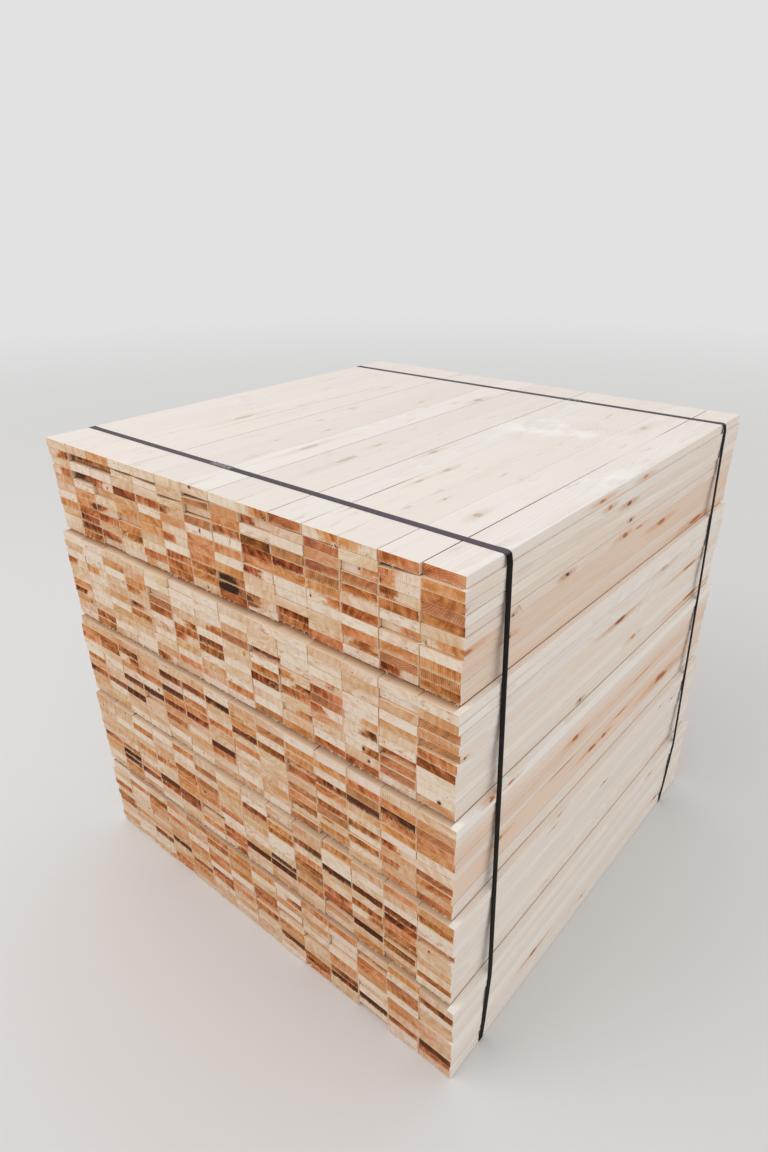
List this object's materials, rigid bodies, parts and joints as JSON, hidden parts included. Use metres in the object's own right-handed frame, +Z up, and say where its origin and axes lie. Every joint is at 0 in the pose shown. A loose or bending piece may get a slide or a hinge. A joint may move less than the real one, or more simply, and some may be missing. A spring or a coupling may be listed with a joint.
{
  "type": "strapped stack of sawn lumber",
  "caption": "Near-cubic stack of short sawn softwood boards laid side by side in stepped tiers and held by two black plastic straps.",
  "frame": {"origin": "centre of the bottom of the stack's bounding box, on the floor under the straps", "axes": "+Y along the boards, from the near end to the far end; +X across the boards; +Z up"},
  "size_m": [1.2098, 1.2292, 1.1577],
  "materials": {
    "sawn_softwood": "rough-sawn, bare, pale cream with orange heartwood on the ends",
    "strap_plastic": "black polyester strapping, low sheen"
  },
  "bodies": {
    "root": {"strap_far": "strap_plastic", "strap_near": "strap_plastic", "tier_1_layer_01": "sawn_softwood", "tier_1_layer_02": "sawn_softwood", "tier_1_layer_03": "sawn_softwood", "tier_1_layer_04": "sawn_softwood", "tier_1_layer_05": "sawn_softwood", "tier_1_layer_06": "sawn_softwood", "tier_1_layer_07": "sawn_softwood", "tier_1_layer_08": "sawn_softwood", "tier_1_layer_09": "sawn_softwood", "tier_1_layer_10": "sawn_softwood", "tier_1_layer_11": "sawn_softwood", "tier_2_layer_01": "sawn_softwood", "tier_2_layer_02": "sawn_softwood", "tier_2_layer_03": "sawn_softwood", "tier_2_layer_04": "sawn_softwood", "tier_2_layer_05": "sawn_softwood", "tier_2_layer_06": "sawn_softwood", "tier_2_layer_07": "sawn_softwood", "tier_2_layer_08": "sawn_softwood", "tier_2_layer_09": "sawn_softwood", "tier_2_layer_10": "sawn_softwood", "tier_2_layer_11": "sawn_softwood", "tier_3_layer_01": "sawn_softwood", "tier_3_layer_02": "sawn_softwood", "tier_3_layer_03": "sawn_softwood", "tier_3_layer_04": "sawn_softwood", "tier_3_layer_05": "sawn_softwood", "tier_3_layer_06": "sawn_softwood", "tier_3_layer_07": "sawn_softwood", "tier_3_layer_08": "sawn_softwood", "tier_3_layer_09": "sawn_softwood", "tier_3_layer_10": "sawn_softwood", "tier_3_layer_11": "sawn_softwood", "tier_4_layer_01": "sawn_softwood", "tier_4_layer_02": "sawn_softwood", "tier_4_layer_03": "sawn_softwood", "tier_4_layer_04": "sawn_softwood", "tier_4_layer_05": "sawn_softwood", "tier_4_layer_06": "sawn_softwood", "tier_4_layer_07": "sawn_softwood", "tier_4_layer_08": "sawn_softwood", "tier_4_layer_09": "sawn_softwood", "tier_4_layer_10": "sawn_softwood", "tier_4_layer_11": "sawn_softwood", "tier_5_layer_01": "sawn_softwood", "tier_5_layer_02": "sawn_softwood", "tier_5_layer_03": "sawn_softwood", "tier_5_layer_04": "sawn_softwood", "tier_5_layer_05": "sawn_softwood", "tier_5_layer_06": "sawn_softwood", "tier_5_layer_07": "sawn_softwood", "tier_5_layer_08": "sawn_softwood", "tier_5_layer_09": "sawn_softwood", "tier_5_layer_10": "sawn_softwood", "tier_5_layer_11": "sawn_softwood"}
  },
  "joints": []
}
